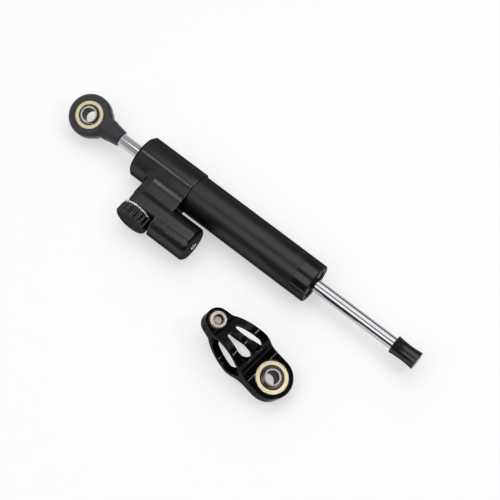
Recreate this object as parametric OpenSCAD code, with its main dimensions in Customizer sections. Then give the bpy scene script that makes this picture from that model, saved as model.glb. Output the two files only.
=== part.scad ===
// Motorcycle steering damper: a twin-tube, through-rod hydraulic damper and its barrel clamp.
// The rod runs along X, the valve arm points to -Y, and the origin is the centre of the
// rod-end ball. The clamp bracket lies beside the barrel, on the same floor as the damper.

/* [Overall] */
// Length from the far edge of the rod-end eye to the end of the rod cap
overall_l = 255; // [253:0.5:258]
// Radial gap of every running fit
run_gap = 0.05; // [0.03:0.01:0.08]

/* [Rod end] */
// Outer radius of the eye
eye_r = 13.2; // [12.8:0.1:14]
// Half thickness of the eye
eye_h = 4.9; // [4.8:0.1:5.4]
// How far the eye is rolled about the rod, in degrees
eye_roll = 20; // [0:1:40]
// Radius of the ball
ball_r = 7.6; // [7.4:0.05:7.8]
// Half width of the ball
ball_h = 6; // [5.6:0.1:6.4]
// Radius of the ball bore, for an 8 mm bolt
bolt_r = 4; // [3:0.25:4.5]
// Distance from the ball centre to the end of the shank
shank_x = 23.6; // [22:0.1:24.5]
// Radius of the shank at its end
shank_r = 5.4; // [5:0.1:6]

/* [Rod] */
// Radius of the chromed rod
rod_r = 4; // [3.8:0.05:4.2]
// Rod showing between the shank and the valve head
rod_show = 15.8; // [14.6:0.1:17]
// Length of the waisted rod cap
cap_l = 16.3; // [14:0.1:17]
// Largest radius of the rod cap
cap_r = 5.65; // [5.4:0.05:6]
// How much narrower the rod cap is at its middle
cap_waist = 0.55; // [0:0.05:0.8]

/* [Barrel] */
// Outer radius of the barrel tube
barrel_r = 12.5; // [12.4:0.1:12.8]
// Inner radius of the barrel tube
barrel_bore = 10.6; // [10.4:0.1:10.8]
// Radius of the pressure tube's bore
pressure_bore = 8.2; // [8:0.1:8.4]
// Wall of the pressure tube
pressure_wall = 1.4; // [1:0.1:1.6]
// Barrel and collar showing beyond the valve head
barrel_show = 89.4; // [87:0.1:92]
// Length of the polished end collar
collar_l = 11.2; // [10.5:0.1:13]
// Length of the piston
piston_l = 12; // [10:0.5:14]
// Place of the piston at rest
piston_x = 127; // [125.5:0.5:128]

/* [Valve head] */
// Outer radius of the valve head
head_r = 13.5; // [13.4:0.1:14]
// Length of the valve head
head_l = 39.4; // [39:0.1:41]
// Bevel at the rod side of the head
head_bevel = 1.8; // [0.8:0.1:2.2]
// Distance from the barrel axis to the adjuster axis
arm_l = 26.4; // [26.2:0.1:27.4]
// Where the arm starts, from the rod face of the head
arm_start = 13.7; // [13:0.1:14.5]
// Half height of the arm
arm_h = 9.5; // [9:0.1:10]
// Radius of the hollow between head and arm
blend_r = 22; // [18:1:26]
// Radius of the adjuster barrel
adjuster_r = 11.1; // [10.9:0.1:11.3]
// Height of the flats above the adjuster axis
flat_h = 10.75; // [10.5:0.05:10.85]
// Far end of the adjuster barrel, from the rod face of the head
adjuster_end = 59.7; // [59:0.1:62]

/* [Adjuster knob] */
// Radius of the knob
knob_r = 10.7; // [10.3:0.1:11]
// Height of the knob
knob_h = 6.05; // [5.85:0.05:6.5]
// Number of grooves round the knob
knob_grooves = 20; // [16:1:24]
// Where the knob axis crosses the arm, from the rod face of the head
knob_place = 21.9; // [21.7:0.1:22.3]
// Distance from the adjuster axis out to the knob's seat
seat_out = 3.8; // [3.7:0.1:4.2]
// Number of dimples in the click ring
clicks = 24; // [16:2:24]

/* [Clamp bracket] */
// Distance between the barrel axis and the bearing axis
bearing_reach = 26.5; // [26:0.1:28]
// Distance between the barrel axis and the screw axis
screw_reach = 18; // [17.8:0.1:19]
// Outer radius of the band round the barrel
band_r = 15.5; // [15.2:0.1:16]
// Half width of the band and radius of the bearing lug
lug_r = 12.5; // [12.2:0.1:13]
// Radius of the screw lug
ear_r = 7.3; // [7:0.1:7.8]
// Half thickness of the bearing lug
lug_h = 6; // [5.8:0.1:6.4]
// Half thickness of the screw lug
ear_h = 6.5; // [6.2:0.1:7]
// Width of the split
split_w = 1.6; // [1:0.1:2]
// Radius of the bearing ball
clamp_ball_r = 8.6; // [8.5:0.05:8.8]
// Half width of the bearing ball
clamp_ball_h = 6.75; // [6.5:0.05:7]
// Yaw of the clamp on the floor, in degrees
clamp_yaw = -5; // [-20:1:20]

/* [Hidden] */

eps = 0.01;
// Tangent faces overlap by this much, so that they join
slim = 0.02;
$fn = 96;

// Stations along the rod axis
head_x0 = shank_x + rod_show;
head_x1 = head_x0 + head_l;
barrel_x1 = head_x1 + barrel_show;
collar_x0 = barrel_x1 - collar_l;
cap_x1 = overall_l - eye_r;
cap_x0 = cap_x1 - cap_l;
knob_x = head_x0 + knob_place;
arm_x0 = head_x0 + arm_start;
slope_l = 3;
slope_h = 1.2;
adjuster_x1 = head_x0 + adjuster_end;

// Rod-end fits
liner_w = 0.2;
liner_in = ball_r + run_gap;
race_in = liner_in + liner_w + run_gap;
race_r = 8.55;
race_h = eye_h - 0.2;
liner_h = 4.3;
stud_r = 3.4;
stud_x0 = 14.4;
neck_r = 6;
neck_x1 = 17;
shank_x0 = 21;

// Rod seals and glands
spigot_r = barrel_r - 0.5;
head_wall = 3.2;
land_r = rod_r + 0.3;
bush_in = rod_r + run_gap;
bush_r = 5.5;
seal_r = 7;
wiper_r = 6.5;
lip_r = rod_r + 0.5;
opening_r = rod_r + 0.6;
gland_x0 = head_x0 + head_wall;
gland_x1 = knob_x - 1.3;
nose_l = 3;
seal_w = 4.5;
wiper_w = 2.5;
rear_seal_x0 = gland_x0 + 3;
rear_bush_x0 = gland_x0 + 8.5;
rear_ring_x0 = gland_x0 + 11.5;
rear_ring_w = 2;
rear_ring_deep = 1.4;
port_r = 0.8;
port_x = gland_x1 - 1.4;
port_ring = (bush_r + pressure_bore) / 2;
tube_x0 = knob_x + 2.7;
barrel_seal_w = 1.2;
pressure_r = pressure_bore + pressure_wall;
pressure_x1 = collar_x0 - 6;
front_seal_x0 = collar_x0 + 1;
front_ring_x0 = collar_x0 - 4;
front_ring_w = 2;
front_ring_deep = 1.2;
plate_x0 = barrel_x1 - 2.2;
plate_w = 1;
circlip_w = 0.9;
plate_r = 10.8;

// Piston
piston_r = pressure_bore - 0.3;
ring_w = 3;
ring_in = 6.9;
clip_w = 1;
clip_r = 5.6;
clip_in = rod_r - 0.6;
clip_x = [piston_x - piston_l / 2 - clip_w, piston_x + piston_l / 2];
cap_stud_r = rod_r - 1;
cap_stud_x1 = cap_x0 + 10.5;

// Adjuster stack, measured outward from the barrel axis
seat_d = arm_l + seat_out;
bush_d = seat_d - 6.7;
needle_seat_d = bush_d - 7;
needle_bore = 3.45;
needle_tip = 1.15;
needle_tip_d0 = needle_seat_d - 1.6;
needle_tip_d1 = needle_seat_d + 0.5;
needle_neck_d0 = needle_seat_d + 0.9;
needle_neck_d1 = needle_seat_d + 4.1;
needle_neck_r = 1.8;
needle_ring_d = needle_seat_d + 4.5;
needle_ring_w = 1.2;
needle_ring_in = needle_bore - 0.95;
side_port_d = needle_seat_d + 3.3;
side_port_r = 0.6;
bush_top = seat_d + 2.2;
adj_bush_r = 5;
hex_r = 3;
hex_h = 4;
thread_r = 1.55;
thread_d0 = needle_seat_d + 5.3;
flange_r = 3.35;
flange_h = 1.4;
stem_r = 2;
stem_ring_r = 3.2;
stem_ring_d = seat_d - 0.2;
stem_ring_w = 1.4;
click_h = 1.5;
click_r = knob_r - 0.1;
track_r = 8;
knob_d0 = seat_d + click_h + 0.15;
knob_d1 = knob_d0 + knob_h;
stem_d1 = knob_d1 - 1.5;
detent_r = 1;
detent_d = seat_d + click_h + detent_r + 0.05;
pocket_d1 = knob_d0 + 4.7;
grub_d = knob_d0 + 3.3;
grub_r = 1.2;
seat_x1 = knob_x + knob_r + 1.2;

// Compensator in the adjuster barrel
comp_bore = 7.4;
comp_back = 14.7;
comp_x0 = knob_x + comp_back;
comp_x1 = adjuster_x1 - 5.6;
comp_l = 5;
comp_x = comp_x0 + 6;
comp_ring_x0 = comp_x + 1.7;
comp_ring_w = 1.6;
comp_ring_in = comp_bore - 1.3;
plug_r = 8.2;
plug_ring_x0 = comp_x1 + 1.4;
plug_ring_w = 1.6;
plug_ring_in = plug_r - 1.2;
bleed_r = 1.5;
bleed_seat_x = adjuster_x1 - 1.6;
socket_r = 3.2;

// Clamp bracket
clamp_race_in = clamp_ball_r + 2 * run_gap + liner_w;
clamp_race_r = 9.8;
clamp_race_h = 5.2;
ring_groove = 10.4;
ring_groove_w = 0.7;
clamp_screw_r = 3;
clamp_head_r = 5;
clamp_head_z = ear_h - 2.5;
taper_x = 8;
lug_blend = 8;
clamp_x = barrel_x1 - 11;
clamp_y = -58.2;
clamp_z = band_r - head_r;
lug_end = bearing_reach + lug_r;
clamp_tall = 2 * band_r + 2;
clamp_wide = 2 * lug_r + 2;
clamp_tilt = asin(band_r / norm([lug_end, lug_h])) - atan2(lug_h, lug_end);

// A straight round bar along X, from x0 to x1
module bar(x0, x1, r) {
    translate([x0, 0, 0]) rotate([0, 90, 0]) cylinder(h = x1 - x0, r = r);
}

// A cone along X
module taper(x0, x1, r0, r1) {
    translate([x0, 0, 0]) rotate([0, 90, 0]) cylinder(h = x1 - x0, r1 = r0, r2 = r1);
}

// A ring along X
module ring(x0, x1, r_out, r_in) {
    difference() {
        bar(x0, x1, r_out);
        bar(x0 - 1, x1 + 1, r_in);
    }
}

// The knob axis: local z is the distance from the barrel axis, along -Y
module on_knob_axis() {
    translate([knob_x, 0, 0]) rotate([90, 0, 0]) children();
}

// A straight round post along local z, from z0 to z1
module post(z0, z1, r) {
    translate([0, 0, z0]) cylinder(h = z1 - z0, r = r);
}

module on_adjuster_axis() {
    translate([0, -arm_l, 0]) children();
}

module on_eye() {
    rotate([eye_roll, 0, 0]) children();
}

module on_clamp() {
    translate([clamp_x, clamp_y, clamp_z]) rotate([0, 0, clamp_yaw]) rotate([0, clamp_tilt, 0]) children();
}

// A ball with two flat faces and a chamfered bolt hole
module bored_ball(r, h) {
    chamfer = 0.4;
    difference() {
        rotate_extrude() intersection() {
            circle(r = r);
            translate([bolt_r, -h]) square([r, 2 * h]);
        }
        for (side = [-1, 1])
            translate([0, 0, side * (h - chamfer / 2 + eps)])
                cylinder(h = chamfer + eps, r1 = bolt_r + (side > 0 ? 0 : chamfer),
                    r2 = bolt_r + (side > 0 ? chamfer : 0), center = true);
    }
}

// A thin spherical shell between ball and race
module ball_liner(r_in, h) {
    rotate_extrude() intersection() {
        difference() {
            circle(r = r_in + liner_w);
            circle(r = r_in);
        }
        translate([0, -h]) square([r_in + 1, 2 * h]);
    }
}

// A ring with a spherical inside
module ball_race(r_out, r_in, h) {
    rotate_extrude() difference() {
        translate([r_in / 2, -h]) square([r_out - r_in / 2, 2 * h]);
        circle(r = r_in);
    }
}

// Round bar between two circles of different size, as a flat outline
module two_circles(a, ra, b, rb) {
    d = norm(b - a);
    turn = atan2(b[1] - a[1], b[0] - a[0]);
    open = acos((ra - rb) / d);
    up = [cos(turn + open), sin(turn + open)];
    down = [cos(turn - open), sin(turn - open)];
    translate(a) circle(r = ra);
    translate(b) circle(r = rb);
    polygon([a + (ra - slim) * up, b + (rb - slim) * up, b + (rb - slim) * down, a + (ra - slim) * down]);
}

module barrel_tube() {
    color("#1d1e20") difference() {
        union() {
            bar(tube_x0, head_x1 + eps, spigot_r);
            bar(head_x1, collar_x0, barrel_r);
        }
        bar(tube_x0 - 1, collar_x0 + 1, barrel_bore);
    }
}

module pressure_tube() {
    hole_x = pressure_x1 - nose_l - port_r;
    color("#8f9296") difference() {
        ring(gland_x1, pressure_x1, pressure_r, pressure_bore);
        for (turn = [0, 90])
            translate([hole_x, 0, 0]) rotate([turn, 0, 0])
                cylinder(h = 4 * pressure_r, r = port_r, center = true);
    }
}

// The arm's rod side slopes down to its edge
module arm_web() {
    difference() {
        translate([arm_x0, -arm_l, -arm_h]) cube([head_x1 - arm_x0, arm_l, 2 * arm_h]);
        for (side = [0, 1]) mirror([0, 0, side])
            translate([0, 1, 0]) rotate([90, 0, 0]) linear_extrude(arm_l + 2)
                polygon([[arm_x0 + slope_l, arm_h + eps], [arm_x0 - eps, arm_h + eps],
                    [arm_x0 - eps, arm_h - slope_h]]);
    }
}

// Hollow corner between the head and the top of the arm
module arm_blend() {
    cz = arm_h + blend_r;
    cy = sqrt(pow(head_r + blend_r, 2) - cz * cz);
    k = head_r / (head_r + blend_r);
    translate([arm_x0 + slope_l, 0, 0]) rotate([90, 0, 90]) linear_extrude(head_x1 - arm_x0 - slope_l)
        difference() {
            polygon([[-cy, arm_h - 1], [-cy, arm_h], [-k * cy, k * cz], [0, k * cz - 1], [0, arm_h - 1]]);
            translate([-cy, cz]) circle(r = blend_r);
        }
}

module adjuster_barrel() {
    bevel = 1.4;
    on_adjuster_axis() {
        taper(arm_x0, arm_x0 + slope_l, adjuster_r - slope_h, adjuster_r);
        bar(arm_x0 + slope_l, adjuster_x1 - bevel, adjuster_r);
        taper(adjuster_x1 - bevel, adjuster_x1, adjuster_r, adjuster_r - bevel);
    }
}

// Flats, outer grooves and knob seat milled on the adjuster barrel
module adjuster_cuts() {
    len = adjuster_x1 - arm_x0 + 2;
    flat_w = 12;
    groove_turn = 28.5;
    groove_w = 2.5;
    groove_deep = 0.7;
    on_adjuster_axis() for (side = [0, 1]) mirror([0, 0, side]) {
        translate([arm_x0 - 1, -flat_w / 2, flat_h]) cube([len, flat_w, 5]);
        rotate([groove_turn, 0, 0])
            translate([arm_x0 - 1, -groove_w / 2, adjuster_r - groove_deep]) cube([len, groove_w, 2]);
    }
    translate([arm_x0 - 1, -seat_d - adjuster_r, -adjuster_r - 1])
        cube([seat_x1 - arm_x0 + 1, adjuster_r, 2 * adjuster_r + 2]);
}

module valve_head() {
    color("#1a1b1c") difference() {
        union() {
            taper(head_x0, head_x0 + head_bevel, head_r - head_bevel, head_r);
            bar(head_x0 + head_bevel, head_x1, head_r);
            arm_web();
            for (side = [0, 1]) mirror([0, 0, side]) arm_blend();
            difference() {
                adjuster_barrel();
                adjuster_cuts();
            }
        }
        bar(gland_x0, head_x1 + 1, spigot_r);
        bar(head_x0 - 1, gland_x0 + 1, opening_r);
        on_knob_axis() {
            post(spigot_r - 1, needle_seat_d + eps, needle_tip + run_gap);
            post(needle_seat_d, bush_d + eps, needle_bore);
            post(bush_d, seat_d + 1, adj_bush_r);
        }
        translate([port_x, 0, 0]) rotate([90, 0, 0]) post(spigot_r - 1, needle_seat_d + 1, port_r);
        translate([0, -side_port_d, 0]) bar(knob_x, comp_x0 + 1, side_port_r);
        on_adjuster_axis() {
            bar(comp_x0, comp_x1 + 1, comp_bore);
            bar(comp_x1, adjuster_x1 + 1, plug_r);
        }
    }
}

// Plug at the rod side of the head: it holds wiper, seal and bush, and has the oil ports
module rear_gland() {
    color("#8d9094") difference() {
        union() {
            bar(gland_x0, gland_x1, spigot_r);
            bar(gland_x0, gland_x1 + nose_l, pressure_bore);
        }
        bar(gland_x0 - 1, gland_x1 + nose_l + 1, land_r);
        bar(gland_x0 - 1, gland_x0 + wiper_w, wiper_r);
        bar(rear_seal_x0, rear_seal_x0 + seal_w, seal_r);
        bar(rear_bush_x0, gland_x1 + nose_l + 1, bush_r);
        ring(rear_ring_x0, rear_ring_x0 + rear_ring_w, spigot_r + 1, spigot_r - rear_ring_deep);
        ring(port_x - port_r, port_x + port_r, spigot_r + 1, spigot_r - port_r);
        for (turn = [45:90:315]) rotate([turn, 0, 0]) {
            translate([0, 0, port_ring]) bar(port_x, gland_x1 + nose_l + 1, port_r);
            translate([port_x, 0, port_ring - port_r]) cylinder(h = spigot_r, r = port_r);
        }
    }
}

module rear_bush() {
    color("#b98a4a") ring(rear_bush_x0, gland_x1 + nose_l, bush_r, bush_in);
}

module rear_rod_seal() {
    color("#2a2a2c") ring(rear_seal_x0, rear_seal_x0 + seal_w, seal_r, bush_in);
}

module rear_wiper() {
    color("#202022") {
        ring(gland_x0, gland_x0 + wiper_w, wiper_r, bush_in);
        ring(head_x0 + 0.8, gland_x0 + eps, lip_r, bush_in);
    }
}

module rear_gland_oring() {
    color("#202022") ring(rear_ring_x0, rear_ring_x0 + rear_ring_w, spigot_r, spigot_r - rear_ring_deep);
}

module barrel_oring() {
    color("#202022") ring(tube_x0 - barrel_seal_w, tube_x0, spigot_r, barrel_bore + 0.2);
}

// Plug at the far end: its polished collar is as wide as the barrel
module end_gland() {
    bevel = 0.6;
    color("#151618") difference() {
        union() {
            bar(pressure_x1 - nose_l, pressure_x1, pressure_bore);
            bar(pressure_x1, collar_x0, barrel_bore);
            bar(collar_x0, barrel_x1 - bevel, barrel_r);
            taper(barrel_x1 - bevel, barrel_x1, barrel_r, barrel_r - bevel);
        }
        bar(pressure_x1 - nose_l - 1, barrel_x1 + 1, land_r);
        bar(pressure_x1 - nose_l - 1, front_seal_x0, bush_r);
        bar(front_seal_x0, front_seal_x0 + seal_w, seal_r);
        bar(plate_x0 - wiper_w, barrel_x1, wiper_r);
        bar(plate_x0, barrel_x1 + 1, plate_r);
        ring(front_ring_x0, front_ring_x0 + front_ring_w, barrel_bore + 1, barrel_bore - front_ring_deep);
    }
}

module front_bush() {
    color("#b98a4a") ring(pressure_x1 - nose_l, front_seal_x0, bush_r, bush_in);
}

module front_rod_seal() {
    color("#2a2a2c") ring(front_seal_x0, front_seal_x0 + seal_w, seal_r, bush_in);
}

module front_wiper() {
    color("#202022") {
        ring(plate_x0 - wiper_w, plate_x0, wiper_r, bush_in);
        ring(plate_x0 - eps, plate_x0 + 1.5, lip_r, bush_in);
    }
}

module end_gland_oring() {
    color("#202022")
        ring(front_ring_x0, front_ring_x0 + front_ring_w, barrel_bore, barrel_bore - front_ring_deep);
}

module wiper_plate() {
    color("#2b2c2e") ring(plate_x0, plate_x0 + plate_w, plate_r, lip_r + 0.1);
}

// A split spring ring with two eyes, in the plane of the end face
module gland_circlip() {
    x0 = plate_x0 + plate_w;
    ear_at = plate_r - 2.1;
    ear = 1.1;
    ear_hole = 0.45;
    color("#3b3d40") difference() {
        union() {
            ring(x0, x0 + circlip_w, plate_r, plate_r - 1.5);
            for (turn = [-14, 14]) rotate([turn, 0, 0])
                translate([0, 0, -ear_at]) bar(x0, x0 + circlip_w, ear);
        }
        translate([x0 - 1, -1, -plate_r - 1]) cube([circlip_w + 2, 2, 5]);
        for (turn = [-14, 14]) rotate([turn, 0, 0])
            translate([0, 0, -ear_at]) bar(x0 - 1, x0 + circlip_w + 1, ear_hole);
    }
}

module adjuster_bush() {
    color("#b98a4a") on_knob_axis() difference() {
        post(bush_d, bush_top, adj_bush_r);
        translate([0, 0, bush_d - 1]) cylinder(h = hex_h + 1, r = hex_r + 0.06, $fn = 6);
        post(bush_d + hex_h - eps, bush_d + hex_h + flange_h, flange_r);
        post(bush_d + hex_h + 1, bush_top + 1, stem_r + run_gap);
        post(stem_ring_d, stem_ring_d + stem_ring_w, stem_ring_r);
    }
}

module spindle_oring() {
    color("#202022") on_knob_axis() difference() {
        post(stem_ring_d, stem_ring_d + stem_ring_w, stem_ring_r);
        post(stem_ring_d - 1, stem_ring_d + stem_ring_w + 1, stem_r + run_gap);
    }
}

module click_ring() {
    color("#d5d6d8") on_knob_axis() difference() {
        post(seat_d, seat_d + click_h, click_r);
        post(seat_d - 1, seat_d + 2, adj_bush_r);
        for (k = [0:clicks - 1]) rotate([0, 0, (k + 0.5) * 360 / clicks])
            translate([track_r, 0, detent_d - 0.4]) sphere(r = detent_r);
    }
}

module end_plug() {
    color("#18191a") on_adjuster_axis() difference() {
        union() {
            bar(comp_x1, adjuster_x1 - 0.3, plug_r);
            taper(adjuster_x1 - 0.3, adjuster_x1, plug_r, plug_r - 0.3);
        }
        ring(plug_ring_x0, plug_ring_x0 + plug_ring_w, plug_r + 1, plug_ring_in);
        bar(bleed_seat_x, adjuster_x1 + 1, socket_r);
        bar(comp_x1 - 1, adjuster_x1, bleed_r);
    }
}

module end_plug_oring() {
    color("#202022") on_adjuster_axis()
        ring(plug_ring_x0, plug_ring_x0 + plug_ring_w, plug_r, plug_ring_in);
}

module bleed_screw() {
    head = 2.3;
    color("#d9dadc") on_adjuster_axis() difference() {
        union() {
            bar(comp_x1, bleed_seat_x, bleed_r);
            bar(bleed_seat_x, bleed_seat_x + 2, head);
            taper(bleed_seat_x + 2 - eps, bleed_seat_x + 2.3, head, head - 0.3);
        }
        translate([bleed_seat_x + 1, 0, 0]) rotate([0, 90, 0]) cylinder(h = 2, r = 1.45, $fn = 6);
    }
}

module compensator_piston() {
    color("#a4a7ab") on_adjuster_axis() difference() {
        bar(comp_x, comp_x + comp_l, comp_bore - run_gap);
        ring(comp_ring_x0, comp_ring_x0 + comp_ring_w, comp_bore + 1, comp_ring_in);
        bar(comp_x + comp_l / 2, comp_x + comp_l + 1, comp_bore - 4.4);
    }
}

module compensator_oring() {
    color("#202022") on_adjuster_axis()
        ring(comp_ring_x0, comp_ring_x0 + comp_ring_w, comp_bore - run_gap, comp_ring_in);
}

// The needle can't turn: its hexagon slides in the bush while the spindle's thread drives it
module needle_valve() {
    shoulder = bush_d - 0.9;
    color("#c4c6c9") on_knob_axis() difference() {
        union() {
            translate([0, 0, needle_tip_d0])
                cylinder(h = needle_tip_d1 - needle_tip_d0, r1 = 0.5, r2 = needle_tip);
            post(needle_tip_d1 - eps, needle_neck_d0, needle_tip);
            post(needle_neck_d0 - eps, needle_neck_d1, needle_neck_r);
            post(needle_neck_d1 - eps, shoulder, needle_bore - run_gap);
            translate([0, 0, shoulder - eps]) cylinder(h = hex_h, r = hex_r, $fn = 6);
        }
        difference() {
            post(needle_ring_d, needle_ring_d + needle_ring_w, needle_bore + 1);
            post(needle_ring_d - 1, needle_ring_d + needle_ring_w + 1, needle_ring_in);
        }
        post(thread_d0 - 1.4, bush_d + hex_h + 1, thread_r + run_gap);
    }
}

module needle_oring() {
    color("#202022") on_knob_axis() difference() {
        post(needle_ring_d, needle_ring_d + needle_ring_w, needle_bore - run_gap);
        post(needle_ring_d - 1, needle_ring_d + needle_ring_w + 1, needle_ring_in);
    }
}

module adjuster_spindle() {
    color("#c4c6c9") on_knob_axis() {
        post(thread_d0, bush_d + hex_h + 0.1, thread_r);
        post(bush_d + hex_h + 0.1 - eps, bush_d + hex_h + flange_h - 0.1, flange_r - 2 * run_gap);
        post(bush_d + hex_h + flange_h - 0.1 - eps, stem_d1, stem_r);
    }
}

module adjuster_knob() {
    edge = 0.7;
    groove_r = 1.05;
    color("#17181a") on_knob_axis() difference() {
        union() {
            translate([0, 0, knob_d0]) cylinder(h = 0.4, r1 = knob_r - 0.4, r2 = knob_r);
            post(knob_d0 + 0.4 - eps, knob_d1 - edge, knob_r);
            translate([0, 0, knob_d1 - edge - eps]) cylinder(h = edge + eps, r1 = knob_r, r2 = knob_r - edge);
        }
        for (k = [0:knob_grooves - 1]) rotate([0, 0, k * 360 / knob_grooves])
            translate([knob_r + 0.55, 0, knob_d0 - 1]) cylinder(h = knob_h + 2, r = groove_r);
        post(knob_d1 - 0.4, knob_d1 + 1, knob_r - 2.2);
        post(knob_d0 - 1, bush_top + 0.5, adj_bush_r + 0.4);
        post(knob_d0, stem_d1, stem_r);
        translate([0, track_r, 0]) post(knob_d0 - 1, pocket_d1, detent_r + 0.05);
        translate([0, 0, grub_d]) rotate([90, 0, 0]) cylinder(h = knob_r + 2, r = grub_r);
    }
}

module knob_grub_screw() {
    color("#4b4d50") on_knob_axis() translate([0, 0, grub_d]) rotate([90, 0, 0]) difference() {
        post(stem_r - 0.05, 6, grub_r);
        translate([0, 0, 4.6]) cylinder(h = 2, r = 0.7, $fn = 6);
        rotate([90, 0, 0]) cylinder(h = 6, r = stem_r, center = true);
    }
}

// The ball is drawn lifted out of the dimples, as it is between two clicks
module detent_ball() {
    color("#d5d6d8") on_knob_axis() translate([0, track_r, detent_d]) sphere(r = detent_r);
}

// Points round one section of a coil spring, at the angle t along it
function coil_ring(t, r, wire, rise, sides) = [for (k = [0:sides - 1])
    let (a = k * 360 / sides) [(r + wire * cos(a)) * cos(t), (r + wire * cos(a)) * sin(t),
        rise * t / 360 + wire * sin(a)]];

module detent_spring() {
    wire = 0.16;
    coil_r = 0.72;
    z0 = detent_d + detent_r + wire;
    len = pocket_d1 - z0 - wire;
    turns = 3;
    sides = 6;
    rings = 12;
    steps = rings * turns;
    points = [for (i = [0:steps]) each coil_ring(i * 360 / rings, coil_r, wire, len / turns, sides)];
    skin = [for (i = [0:steps - 1]) for (k = [0:sides - 1])
        [i * sides + k, i * sides + (k + 1) % sides, (i + 1) * sides + (k + 1) % sides, (i + 1) * sides + k]];
    ends = [[for (k = [sides - 1:-1:0]) k], [for (k = [0:sides - 1]) steps * sides + k]];
    color("#b9bbbe") on_knob_axis() translate([0, track_r, z0])
        polyhedron(points = points, faces = concat(skin, ends));
}

module piston_ring() {
    color("#3a332c") ring(piston_x - ring_w / 2 + run_gap, piston_x + ring_w / 2 - run_gap,
        pressure_bore - run_gap, ring_in + run_gap);
}

module damper_rod() {
    color("#d9dadd") difference() {
        union() {
            bar(stud_x0, shank_x, stud_r);
            bar(shank_x - eps, cap_x0, rod_r);
            bar(cap_x0 - eps, cap_stud_x1, cap_stud_r);
        }
        for (x = clip_x) ring(x, x + clip_w, rod_r + 1, clip_in);
    }
}

module piston() {
    color("#a4a7ab") difference() {
        bar(piston_x - piston_l / 2, piston_x + piston_l / 2, piston_r);
        bar(piston_x - piston_l, piston_x + piston_l, rod_r);
        ring(piston_x - ring_w / 2, piston_x + ring_w / 2, piston_r + 1, ring_in);
    }
}

// Two spring clips that hold the piston on the rod
module piston_circlips() {
    color("#4b4d50") for (x = clip_x) difference() {
        ring(x, x + clip_w, clip_r, clip_in);
        translate([x - 1, -1.1, 1]) cube([clip_w + 2, 2.2, clip_r]);
    }
}

module eye_ring() {
    round_r = 3;
    rotate_extrude() {
        translate([race_r, -eye_h]) square([eye_r - round_r - race_r, 2 * eye_h]);
        translate([race_r, round_r - eye_h]) square([eye_r - race_r, 2 * (eye_h - round_r)]);
        for (side = [-1, 1]) translate([eye_r - round_r, side * (eye_h - round_r)]) circle(r = round_r);
    }
}

// Flat neck with a hollow round corner on each side
module eye_neck() {
    fillet = 7;
    cy = neck_r + fillet;
    cx = sqrt(pow(eye_r + fillet, 2) - cy * cy);
    k = eye_r / (eye_r + fillet);
    linear_extrude(2 * (eye_h - 1), center = true) difference() {
        polygon([[k * cx - 1, -k * cy], [cx, -k * cy], [cx, k * cy], [k * cx - 1, k * cy]]);
        for (side = [-1, 1]) translate([cx, side * cy]) circle(r = fillet);
    }
}

module rod_end_housing() {
    color("#2c2d2f") on_eye() difference() {
        union() {
            eye_ring();
            eye_neck();
            bar(race_r + 1.5, neck_x1, neck_r);
            taper(neck_x1 - eps, shank_x0, neck_r, shank_r);
            bar(shank_x0 - eps, shank_x - 0.6, shank_r);
            taper(shank_x - 0.6 - eps, shank_x, shank_r, shank_r - 0.5);
        }
        cylinder(h = 4 * eye_h, r = race_r, center = true);
        bar(stud_x0 - 1, shank_x + 1, stud_r);
    }
}

module rod_end_race() {
    color("#d8c07a") on_eye() ball_race(race_r, race_in, race_h);
}

module rod_end_liner() {
    color("#6b6257") on_eye() ball_liner(liner_in, liner_h);
}

module rod_end_ball() {
    color("#d6d3cc") on_eye() bored_ball(ball_r, ball_h);
}

// Waisted cap, a little wider at its far end
module rod_cap() {
    flare = 0.35;
    steps = 12;
    edge = [for (i = [0:steps]) let (t = i / steps)
        [cap_r - flare * (1 - t) - cap_waist * 4 * t * (1 - t), t * cap_l]];
    color("#161617") difference() {
        translate([cap_x0, 0, 0]) rotate([0, 90, 0])
            rotate_extrude() polygon(concat([[0, 0]], edge, [[0, cap_l]]));
        bar(cap_x0 - 1, cap_stud_x1, cap_stud_r);
    }
}

// Side view of the clamp, drawn out along the band: band, ear and lug without their holes
module clamp_profile() {
    fz = lug_h + lug_blend - slim;
    fx = sqrt(pow(band_r + lug_blend - slim, 2) - fz * fz);
    k = band_r / (band_r + lug_blend);
    rotate([90, 0, 0]) cylinder(h = clamp_wide, r = band_r, center = true);
    translate([-screw_reach - ear_r - 1, -clamp_wide / 2, -ear_h])
        cube([screw_reach + ear_r, clamp_wide, 2 * ear_h]);
    translate([0, -clamp_wide / 2, -lug_h]) cube([lug_end + 1, clamp_wide, 2 * lug_h]);
    for (side = [0, 1]) mirror([0, 0, side]) rotate([90, 0, 0]) linear_extrude(clamp_wide, center = true)
        difference() {
            polygon([[k * fx - 3, 1], [k * fx - 3, k * fz], [k * fx, k * fz], [fx, lug_h], [fx, 1]]);
            translate([fx, fz]) circle(r = lug_blend);
        }
}

// Plan of the clamp, drawn up and down: a small ear that widens into the bearing lug
module clamp_plan() {
    linear_extrude(clamp_tall, center = true) two_circles([-screw_reach, 0], ear_r, [taper_x, 0], lug_r);
    translate([taper_x - 1, slim - lug_r, -clamp_tall / 2])
        cube([bearing_reach - taper_x + 1, 2 * (lug_r - slim), clamp_tall]);
    translate([bearing_reach, 0, 0]) cylinder(h = clamp_tall, r = lug_r, center = true);
}

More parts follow.
